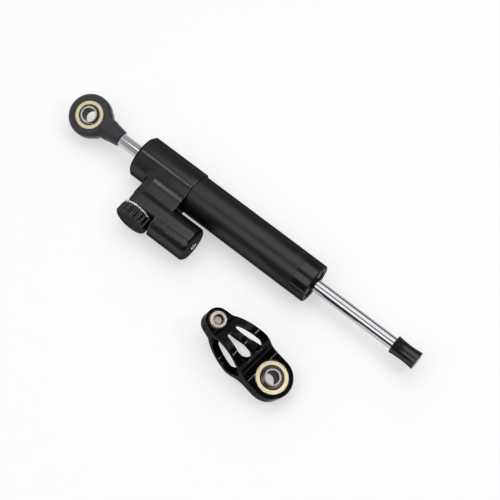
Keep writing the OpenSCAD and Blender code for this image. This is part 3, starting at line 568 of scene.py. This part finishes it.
# Its pale edges are wide and bright: partly wear, partly a painted highlight along the flat's edges.
head_black = black_anodised("head_black_anodised", ("#3A3A3B", "#424243"), "#8C8C8D", 0.15, 0.2,
                            grain_mm=0.5, depth_um=1.5, wear_and_glint_share=0.7)
head_close = ((38.9, 42.2), (50.4, 65.4), (72.6, 73.8), (78.2, 79.4), (97.2, 99.6))
head_ticks = (ticks_between(38.9, 99.6, 0.7, head_close, 0.33),
              ticks_between(-38.2, 14.0, 0.34, ((-24.0, -23.0),), 0.12), ticks_between(-14.0, 14.0, 0.34))
finish(skin("valve_head_block", head_distance, head_ticks, BARREL_AXIS), head_black,
       "barrel", "head_black", "valve_head")

# Rear gland at the rod side: turned aluminium with a bronze bush, a rod seal, a wiper whose lip shows round
# the rod, and rubber rings. It is pushed into the head, and the pressure tube stands on its nose.
bronze = turned_metal("oiled_bearing_bronze", "#8A6236", "#A97C46", 0.32, 0.5, line_mm=0.3, depth_um=6)
rubber = blank("seal_rubber")
rubber_cloud = grain(rubber, 3, 3.0)
surface(rubber, {"Base Color": tone_between(rubber, rubber_cloud, "#151516", "#222223"),
                 "Roughness": stretch(rubber, rubber_cloud, 0.3, 0.7, 0.5, 0.68)}, grain(rubber, 0.15), 4)
dress(turned_aluminium, "rear_gland")
dress(bronze, "rear_bush")
dress(rubber, "rear_rod_seal", "rear_gland_oring", "barrel_oring")
LIP_R = 4.05
finish(lathe("rear_wiper_lip",
             [(40.2, LIP_R), (40.2, 4.35), (42.6, 4.5), (42.6, 6.5), (45.1, 6.5), (45.1, LIP_R)],
             [0.08, 0.08, 0.05, 0.2, 0.2, 0.1], BARREL_AXIS, turns=96, steps=3),
       rubber, "barrel", "rubber", "rear_wiper")

# End gland: its collar closes the barrel and is turned bright before it is anodised, so it is glossier than
# the tube. Inside are a bronze bush and rod seal; a plate and a circlip hold the wiper in the end face.
GLAND = ((148, 5.5), (148, 8.2), (151, 8.2), (151, 10.6), (153, 10.6), (153, 9.4), (155, 9.4), (155, 10.6),
         (157, 10.6), (157, 12.5), (167.6, 12.5), (168.2, 11.9), (168.2, 10.8), (166, 10.8), (166, 6.5),
         (163.5, 6.5), (163.5, 4.3), (162.5, 4.3), (162.5, 7), (158, 7), (158, 5.5))
gland_rounds = [0.1, 0.3, 0.1, 0.2, 0.1, 0.1, 0.1, 0.1, 0.1, 0.3, 0.15, 0.15, 0.1, *[0.06] * 8]
collar_black = black_anodised("collar_black_anodised", ("#373738", "#3F3F40"), "#626263", 0.15, 0.2,
                              grain_mm=0.16, depth_um=2, wear_and_glint_share=0.15)
finish(lathe("end_collar", GLAND, gland_rounds, BARREL_AXIS), collar_black,
       "barrel", "collar_black", "end_gland")
dress(bronze, "front_bush")
dress(rubber, "front_rod_seal", "end_gland_oring")
finish(lathe("front_wiper_lip",
             [(163.5, LIP_R), (163.5, 6.5), (166.0, 6.5), (166.0, 4.5), (167.5, 4.35), (167.5, LIP_R)],
             [0.1, 0.2, 0.1, 0.05, 0.08, 0.08], BARREL_AXIS, turns=96, steps=3),
       rubber, "barrel", "rubber", "front_wiper")
finish(lathe("cover_plate", [(166, 4.65), (166, 10.8), (167, 10.8), (167, 4.65)], [0.1, 0.25, 0.25, 0.2],
             BARREL_AXIS, steps=4), clip_steel, "barrel", "dark_steel", "wiper_plate")
dress(clip_steel, "gland_circlip")

# Adjuster, from the inside out: a needle that a threaded spindle drives, in a bronze bush pressed into the
# arm, with rubber rings on both. Their bright steel is turned and ground.
KNOB_AXIS = (np.array([KNOB_X, 0, 0]), np.array([[0.0, -1, 0], [1, 0, 0], [0, 0, 1]]))
dress(bronze, "adjuster_bush")
dress(rubber, "spindle_oring", "needle_oring")
dress(ground_steel, "needle_valve", "adjuster_spindle", "detent_spring")

# Click ring: a plated steel washer with fine teeth on its rim and a circle of dimples under the knob, where
# a small ball on a spring makes the clicks.
TEETH, TOOTH_H, DIMPLES, TRACK_R = 64, 0.3, 24, 8.0
CLICK_D0, CLICK_D1, CLICK_R, CLICK_HOLE = 30.2, 31.7, 10.6, 5.0
DIMPLE_R, DIMPLE_D = 1.0, 32.35


def click_distance(d, a, b):
    """Distance to the click ring: a flat ring whose rim goes in and out as a cosine, less round dimples."""
    out, turn = np.hypot(a, b), np.arctan2(b, a)
    rim = out - CLICK_R + TOOTH_H * (0.5 + 0.5 * np.cos(TEETH * turn))
    ring = meet(np.maximum(rim, CLICK_HOLE - out), np.maximum(CLICK_D0 - d, d - CLICK_D1), 0.1)
    pitch = math.tau / DIMPLES
    near = np.mod(turn, pitch) - pitch / 2
    along, aside = out * np.cos(near) - TRACK_R, out * np.sin(near)
    return meet(ring, DIMPLE_R - np.sqrt(along ** 2 + aside ** 2 + (d - DIMPLE_D) ** 2), 0.05)


bright_plate = turned_metal("bright_zinc_plate", "#C9C8C6", "#DEDCD8", 0.16, 0.3, line_mm=0.2, depth_um=3)
click_ticks = (ticks_between(29.9, 32.0, 0.2), *[ticks_between(-10.9, 10.9, 0.17)] * 2)
finish(skin("toothed_click_ring", click_distance, click_ticks, KNOB_AXIS), bright_plate,
       "barrel", "bright_steel", "click_ring")
dress(bright_plate, "detent_ball")

# Adjuster knob: turned and grooved aluminium, anodised black, with a shallow recess in its face. It sits on
# the spindle and is held by a small grub screw from the side.
KNOB_D0, KNOB_D1, KNOB_R = 31.85, 37.9, 10.7
GROOVES, GROOVE_OUT, GROOVE_R = 20, 11.3, 1.4
RECESS_R, RECESS_L = 8.5, 0.4
# Its holes, by radius and how deep they end: over the bush, for the spindle, the detent and the grub screw.
BUSH_HOLE, BUSH_D, SPINDLE_HOLE, SPINDLE_D = 5.4, 32.9, 2, 36.4
DETENT_HOLE, DETENT_D, GRUB_HOLE, GRUB_D = 1.05, 36.55, 1.2, 35.15


def knob_distance(d, a, b):
    """Distance to the knob: a bevelled disc, less round grooves, face recess, bush hollow and its holes."""
    out, turn = np.hypot(a, b), np.arctan2(b, a)
    knob = round_bar(d, out, KNOB_D0, KNOB_D1, KNOB_R, 0.4, 0.7, 0.15)
    pitch = math.tau / GROOVES
    near = np.mod(turn + pitch / 2, pitch) - pitch / 2
    groove = np.hypot(out * np.cos(near) - GROOVE_OUT, out * np.sin(near)) - GROOVE_R
    knob = meet(knob, -groove, 0.15)
    holes = np.minimum.reduce([
        np.maximum(out - RECESS_R, KNOB_D1 - RECESS_L - d), np.maximum(out - BUSH_HOLE, d - BUSH_D),
        np.maximum(out - SPINDLE_HOLE, d - SPINDLE_D),
        np.maximum(np.hypot(a, b - TRACK_R) - DETENT_HOLE, d - DETENT_D),
        np.maximum(np.hypot(d - GRUB_D, a) - GRUB_HOLE, b)])
    return meet(knob, -holes, 0.1)


knob_black = black_anodised("knob_black_anodised", ("#373738", "#404041"), "#88888A", 0.22, 0.34,
                            grain_mm=0.3, depth_um=3, wear_and_glint_share=0.7, glance="#A0A0A0")
knob_ticks = (ticks_between(31.6, 38.2, 0.22), *[ticks_between(-11, 11, 0.22)] * 2)
finish(skin("grooved_knob", knob_distance, knob_ticks, KNOB_AXIS), knob_black,
       "knob", "knob_black", "adjuster_knob")
dress(clip_steel, "knob_grub_screw")

# Compensator at the other end of the arm's barrel: a floating piston with its ring, and a black plug with a
# small bright bleed screw in a round recess.
ADJUSTER_AXIS = (np.array([0, ADJUSTER_Y, 0]), np.eye(3))
PLUG = ((93.5, 1.5), (93.5, 8.2), (94.9, 8.2), (94.9, 7.0), (96.5, 7.0), (96.5, 8.2), (98.8, 8.2),
        (99.1, 7.9), (99.1, 3.2), (97.5, 3.2), (97.5, 1.5))
BLEED_R, BLEED_HEAD_R, BLEED_HEX = 1.5, 2.3, 1.256
BLEED_X0, BLEED_HEAD_X0, BLEED_SOCKET_X0, BLEED_X1 = 93.5, 97.5, 98.5, 99.8
LAP = 0.5
dress(turned_aluminium, "compensator_piston")
dress(rubber, "compensator_oring", "end_plug_oring")
finish(lathe("adjuster_end_plug", PLUG, [0.1, 0.3, 0.1, 0.05, 0.05, 0.1, 0.1, 0.1, 0.25, 0.1, 0.1],
             ADJUSTER_AXIS, turns=96, steps=4), head_black, "barrel", "head_black", "end_plug")


def hexagon(a, b, half):
    """Distance to a hexagon with corners on the a axis: the farthest out of its three pairs of flats."""
    a, b = np.abs(a), np.abs(b)
    return np.maximum(b, a * math.cos(math.pi / 6) + b / 2) - half


def bleed_distance(x, a, b):
    """Distance to the bleed screw: a shank that laps into a round head, less its hexagon socket."""
    out = np.hypot(a, b)
    screw = join(round_bar(x, out, BLEED_X0, BLEED_HEAD_X0 + LAP, BLEED_R, 0.2, 0.1, 0.05),
                 round_bar(x, out, BLEED_HEAD_X0, BLEED_X1, BLEED_HEAD_R, 0.05, 0.3, 0.08), 0.05)
    return meet(screw, -np.maximum(hexagon(a, b, BLEED_HEX), BLEED_SOCKET_X0 - x), 0.05)


bleed_ticks = (ticks_between(93.2, 100.1, 0.12), *[ticks_between(-2.5, 2.5, 0.11)] * 2)
finish(skin("bleed_screw_bright", bleed_distance, bleed_ticks, ADJUSTER_AXIS), bright_plate,
       "barrel", "bright_steel", "bleed_screw")

# Rod end: a forged steel eye with a rounded rim, a flat neck and a round shank, coated matt black. It is
# screwed on the rod and rolled a little about it. In it sit a brass race, a thin liner and a bored ball.
EYE_ROLL = math.radians(20)
EYE_AXIS = (np.zeros(3), np.array([[0, -math.sin(EYE_ROLL), math.cos(EYE_ROLL)], [1.0, 0, 0],
                                   [0, math.cos(EYE_ROLL), math.sin(EYE_ROLL)]]))
EYE_R, EYE_H, EYE_RIM = 13.2, 4.9, 3.0
NECK_R, NECK_HOLLOW, NECK_X0, NECK_STEP = 6.0, 7.0, 8, 1
SHANK_X0, TAPER, TAPER_X0 = 10, 0.15, 17
SHANK_END_R, SHANK_END_X0, SHANK_BEVEL = 5.4, 21, 0.6
EYE_SEAT_R, STUD_BORE_X0 = 8.55, 13.4


def eye_distance(n, x, y):
    """Distance to the rod-end eye: rounded disc, hollowed neck and shank joined, less race seat and bore."""
    out = np.hypot(x, y)
    disc = meet(out - EYE_R, np.abs(n) - EYE_H, EYE_RIM)
    y = np.abs(y)
    hollow_y = NECK_R + NECK_HOLLOW
    hollow_x = math.sqrt((EYE_R + NECK_HOLLOW) ** 2 - hollow_y ** 2)
    tangent_y = hollow_y * EYE_R / (EYE_R + NECK_HOLLOW)
    neck = np.maximum.reduce([NECK_HOLLOW - np.hypot(x - hollow_x, y - hollow_y), NECK_X0 - x, x - hollow_x,
                              y - tangent_y])
    neck = meet(neck, np.abs(n) - EYE_H + NECK_STEP, 1.2)
    off = np.hypot(y, n)
    cone = (off - NECK_R + TAPER * (x - TAPER_X0)) / math.hypot(1, TAPER)
    shank = np.maximum.reduce([off - NECK_R, cone, SHANK_X0 - x])
    shank = np.where(x > SHANK_END_X0, np.maximum(shank, off - SHANK_END_R), shank)
    shank = meet(shank, x - SHANK_X, 0.1)
    shank = meet(shank, (off - SHANK_END_R + x - SHANK_X + SHANK_BEVEL) / math.sqrt(2), 0.2)
    eye = join(join(disc, neck, 1.2), shank, 1.6)
    seat = np.minimum(out - EYE_SEAT_R, np.maximum(np.hypot(y, n) - STUD_R, STUD_BORE_X0 - x))
    return meet(eye, -seat, 0.12)


coated_black = blank("matt_black_coating")
coat_cloud = grain(coated_black, 6, 4.0)
coat_tone = tone_between(coated_black, coat_cloud, "#1F2022", "#313236")
surface(coated_black, {"Base Color": tone_between(coated_black, edge_wear_and_glint(coated_black, 1.1, 0.45, 0.75, 0.5),
                                                  coat_tone, "#66676A"),
                       "Roughness": stretch(coated_black, coat_cloud, 0.3, 0.7, 0.36, 0.5)},
        grain(coated_black, 0.6), 20)
eye_ticks = (ticks_between(-6.6, 6.6, 0.26), ticks_between(-13.6, 24.0, 0.24),
             ticks_between(-13.6, 13.6, 0.24))
finish(skin("rod_end_eye", eye_distance, eye_ticks, EYE_AXIS), coated_black,
       "rod", "rod_end_black", "rod_end_housing")


def race_outline(outer, inner, half):
    """A race's outline: the ball's hollow is one arc between the tangents at its two lips."""
    lip = math.sqrt(inner ** 2 - half ** 2)
    return ([(-half, lip), (-half, outer), (half, outer), (half, lip), (0, inner ** 2 / lip)],
            [0.05, 0.3, 0.3, 0.05, inner])


def ball_outline(ball_r, half, bore, bevel=0.4):
    """A bored ball's outline: one arc between the tangents at its flats, then the bevelled bore."""
    flat = math.sqrt(ball_r ** 2 - half ** 2)
    return ([(-half, bore + bevel), (-half, flat), (0, ball_r ** 2 / flat), (half, flat),
             (half, bore + bevel), (half - bevel, bore), (-half + bevel, bore)],
            [0.08, 0.04, ball_r, 0.04, 0.08, 0.08, 0.08])


def zoned_steel(name, tones, metals, ends, smooth, rough, blend=0.06):
    """Steel in three zones that end at two radii off the axis, each with its tone and its share of metal.

    Each zone fades into the next over the blend, in mm. The innermost is rough, and the others smooth.
    """
    steel = blank(name)
    out = add(steel, "Attribute", attribute_name="off_axis").outputs["Fac"]
    first, second = (stretch(steel, out, end, end + blend, 0, 1) for end in ends)
    tone = tone_between(steel, second, tone_between(steel, first, tones[0], tones[1]), tones[2])
    metal = combine(steel, "ADD", stretch(steel, first, 0, 1, metals[0], metals[1]),
                    stretch(steel, second, 0, 1, 0, metals[2] - metals[1]))
    return surface(steel, {"Base Color": tone, "Metallic": metal,
                           "Roughness": stretch(steel, first, 0, 1, rough, smooth)}, grain(steel, 0.1), 1)


# The races are plated pale cream. Each ball is hardened steel, browned by oil and heat on the sphere, with
# its flats ground bright; its bore is painted dark brown and matt as painted shade.
race_brass = turned_metal("pale_plated_brass", "#D9CCA3", "#E9E0BF", 0.28, 0.42, line_mm=0.15, depth_um=3,
                          metallic=0.35)
# The innermost zone, the bore, is dark brown, matt and not metal: painted shade in the bore.
ball_steel = zoned_steel("browned_ball_steel_painted_dark_bore", ("#2C2522", "#ECEAE8", "#85796F"), (0.0, 0.4, 0.8),
                         (4.03, 4.72), 0.16, 0.6)
finish(lathe("rod_end_race_ring", *race_outline(EYE_SEAT_R, 7.9, 4.7), EYE_AXIS, steps=16), race_brass,
       "rod", "race_brass", "rod_end_race")
finish(lathe("rod_end_bored_ball", *ball_outline(7.6, 6.0, 4.0), EYE_AXIS, steps=16), ball_steel,
       "ball", "ball_steel", "rod_end_ball")
dress(sliding_plastic, "rod_end_liner")

# Rod cap: a moulded black cap, waisted so that fingers find it, pushed on the thin end of the rod.
CAP_R, CAP_WAIST = 5.65, 0.55
cap_share = np.linspace(0, 1, 15)
cap_side = np.stack([CAP_X0 + cap_share * (CAP_X1 - CAP_X0),
                     CAP_R - CAP_WAIST * 4 * cap_share * (1 - cap_share)], 1)
cap_outline = [(rod_x1, 0), (rod_x1, CAP_STUD_R), (CAP_X0, CAP_STUD_R), *cap_side, (CAP_X1, 0)]
cap_rounds = [SHARP, 0.1, 0.2, 0.35, *[12.0] * 13, 0.5, SHARP]
cap_black = blank("half_gloss_cap_rubber")
cap_cloud = grain(cap_black, 4, 4.0)
surface(cap_black, {"Base Color": tone_between(cap_black, cap_cloud, "#38383A", "#414142"),
                    "Metallic": 0.8, "Specular Tint": "#6C6C6C",
                    "Roughness": stretch(cap_black, cap_cloud, 0.3, 0.7, 0.1, 0.17)},
        grain(cap_black, 0.4), 6)
finish(lathe("waisted_rod_cap", cap_outline, cap_rounds, BARREL_AXIS, turns=96, steps=4), cap_black,
       "rod", "cap_rubber", "rod_cap")

# Clamp bracket: milled from aluminium, polished and anodised gloss black. A split band with two slots beside
# a middle rib goes round the barrel, a lug holds its own bearing, and a socket screw pulls the ear together.
BAND_R, BAND_BORE, LUG_H, EAR_H, LUG_R, EAR_R = 15.5, 12.5, 6.0, 6.5, 12.5, 7.3
BEARING_X, SCREW_X, LUG_HOLLOW, LUG_X0 = 26.5, -18.0, 8.0, 8
SLOT_FROM, SLOT_TO, SLOT_R = (-7.0, 3.3), (6.6, 4.4), (1.4, 3.5)
SPLIT_HALF, SPLIT_X1 = 0.8, -8.3
# The race's seat, the lip it rests on and the circlip's groove, then the screw's hole and its head's hollow.
RACE_SEAT, RACE_LIP, RACE_Z0 = 9.8, 9.3, -5.2
GROOVE_BORE, GROOVE_Z, GROOVE_Z_HALF = 10.4, -5.55, 0.35
SCREW_HOLE, SCREW_TAP, HEAD_HOLE, HEAD_Z0 = 3.3, 3.0, 5.35, 4
# It lies on its band and the end of its lug, which tilts it.
yaw, tilt = math.radians(-5), math.radians(14.38357)
clamp_axes = np.array([[math.cos(yaw) * math.cos(tilt), math.sin(yaw) * math.cos(tilt), -math.sin(tilt)],
                       [-math.sin(yaw), math.cos(yaw), 0],
                       [math.cos(yaw) * math.sin(tilt), math.sin(yaw) * math.sin(tilt), math.cos(tilt)]])
clamp_at = np.array([157.2, -58.2, 2.0])
CLAMP_FRAME = (clamp_at, clamp_axes)
BEARING_AXIS = (clamp_at + BEARING_X * clamp_axes[0], clamp_axes[[2, 0, 1]])
SCREW_AXIS = (clamp_at + SCREW_X * clamp_axes[0], clamp_axes[[2, 0, 1]])


def tapered_slot(x, y, x0, r0, x1, r1):
    """Distance to two circles on the x axis and the two tangents that join them."""
    y, span = np.abs(y), x1 - x0
    sine = (r0 - r1) / span
    cosine = math.sqrt(1 - sine ** 2)
    along = y * -sine + (x - x0) * cosine
    side = y * cosine + (x - x0) * sine - r0
    return np.where(along < 0, np.hypot(y, x - x0) - r0,
                    np.where(along > cosine * span, np.hypot(y, x - x1) - r1, side))


def clamp_distance(x, y, z):
    """Distance to the clamp: side view met with plan, less bore, split, slots, race seat and screw holes."""
    high, wide = np.abs(z), np.abs(y)
    ring = np.hypot(x, z)
    hollow_z = LUG_H + LUG_HOLLOW
    hollow_x = math.sqrt((BAND_R + LUG_HOLLOW) ** 2 - hollow_z ** 2)
    gap = np.hypot(x - hollow_x, high - hollow_z)
    past_band = (hollow_x * high - hollow_z * x) / math.hypot(hollow_x, hollow_z)
    hollow = np.maximum.reduce([LUG_HOLLOW - gap, x - hollow_x, past_band, gap - 1.7 * LUG_HOLLOW])
    lug = np.maximum(high - LUG_H, -x)
    ear = np.maximum(high - EAR_H, x)
    side = np.minimum.reduce([join(ring - BAND_R, ear, 0.8), lug, hollow])
    plan = tapered_slot(x, y, SCREW_X, EAR_R, LUG_X0, LUG_R)
    plan = np.minimum(plan, np.hypot(np.maximum(np.maximum(LUG_X0 - x, x - BEARING_X), 0), y) - LUG_R)
    solid = meet(side, plan, 0.55)
    run, rise = SLOT_TO[0] - SLOT_FROM[0], SLOT_TO[1] - SLOT_FROM[1]
    length = math.hypot(run, rise)
    ahead, aside = x - SLOT_FROM[0], wide - SLOT_FROM[1]
    slots = tapered_slot((ahead * run + aside * rise) / length, (aside * run - ahead * rise) / length,
                         0, SLOT_R[0], length, SLOT_R[1])
    solid = meet(meet(solid, BAND_BORE - ring, 0.3), -slots, 0.4)
    split = np.maximum(high - SPLIT_HALF, x - SPLIT_X1)
    off = np.hypot(x - BEARING_X, y)
    seat = np.minimum.reduce([np.maximum(off - RACE_SEAT, RACE_Z0 - z), off - RACE_LIP,
                              np.maximum(off - GROOVE_BORE, np.abs(z - GROOVE_Z) - GROOVE_Z_HALF)])
    off = np.hypot(x - SCREW_X, y)
    screw = np.minimum.reduce([np.maximum(off - SCREW_HOLE, -z), off - SCREW_TAP,
                               np.maximum(off - HEAD_HOLE, HEAD_Z0 - z)])
    return meet(solid, -np.minimum.reduce([split, seat, screw]), 0.2)


# Its pale edges are partly wear and partly painted glints along the clamp's edges.
clamp_black = black_anodised("clamp_gloss_black", ("#1A1A1B", "#212122"), "#9A9A9B", 0.06, 0.1,
                             grain_mm=0.5, depth_um=1, wear_and_glint_share=0.7, metallic=0.85)
clamp_ticks = (ticks_between(-25.8, 39.5, 0.31), ticks_between(-13, 13, 0.31), ticks_between(-16, 16, 0.31))
finish(skin("clamp_bracket", clamp_distance, clamp_ticks, CLAMP_FRAME), clamp_black,
       "clamp", "clamp_black", "clamp_body")
finish(lathe("clamp_race_ring", *race_outline(RACE_SEAT, 8.9, 5.2), BEARING_AXIS, steps=16), race_brass,
       "clamp", "race_brass", "clamp_race")
finish(lathe("clamp_bored_ball", *ball_outline(8.6, 6.75, 4.0), BEARING_AXIS, steps=16), ball_steel,
       "clamp_bearing", "ball_steel", "clamp_ball")
dress(clip_steel, "clamp_circlip")
dress(sliding_plastic, "clamp_liner")

# Clamp screw: a 6 mm socket head screw, zinc plated, with painted shade on the walls and corners of its
# socket. Its shank is threaded below, and plain under the head.
SCREW_R, SCREW_Z0, SCREW_HEAD_R, SCREW_Z1, SOCKET_HALF, SOCKET_Z0 = 3.0, -6, 5.0, 8, 2.5, 5.6
THREAD_H, THREAD_Z1 = 0.16, 2.5


def socket_screw_distance(n, a, b):
    """Distance to the socket screw: a threaded shank, its radius a wave that climbs 1 mm each turn."""
    out, turn = np.hypot(a, b), np.arctan2(b, a)
    thread = THREAD_H * (1 - np.cos(math.tau * n - turn))
    shank = round_bar(n, out + np.where(n < THREAD_Z1, thread, 0), SCREW_Z0, HEAD_Z0 + LAP, SCREW_R,
                      0.4, 0.1, 0.05)
    screw = join(shank, round_bar(n, out, HEAD_Z0, SCREW_Z1, SCREW_HEAD_R, 0.1, 0.5, 0.12), 0.15)
    return meet(screw, -np.maximum(hexagon(a, b, SOCKET_HALF), SOCKET_Z0 - n), 0.08)


screw_ticks = (ticks_between(-6.3, 8.3, 0.16), *[ticks_between(-5.2, 5.2, 0.16)] * 2)
# The dark ring from 2.2 to 3.05 mm off the axis is painted shade on the socket's walls and corners.
screw_plate = zoned_steel("zinc_plate_painted_socket_shade", ("#CBB7A8", "#2E2925", "#E0DDD8"), (0.2, 0.3, 0.6),
                          (2.2, 3.05), 0.26, 0.34)
finish(skin("socket_screw", socket_screw_distance, screw_ticks, SCREW_AXIS), screw_plate,
       "clamp", "bright_steel", "clamp_screw")
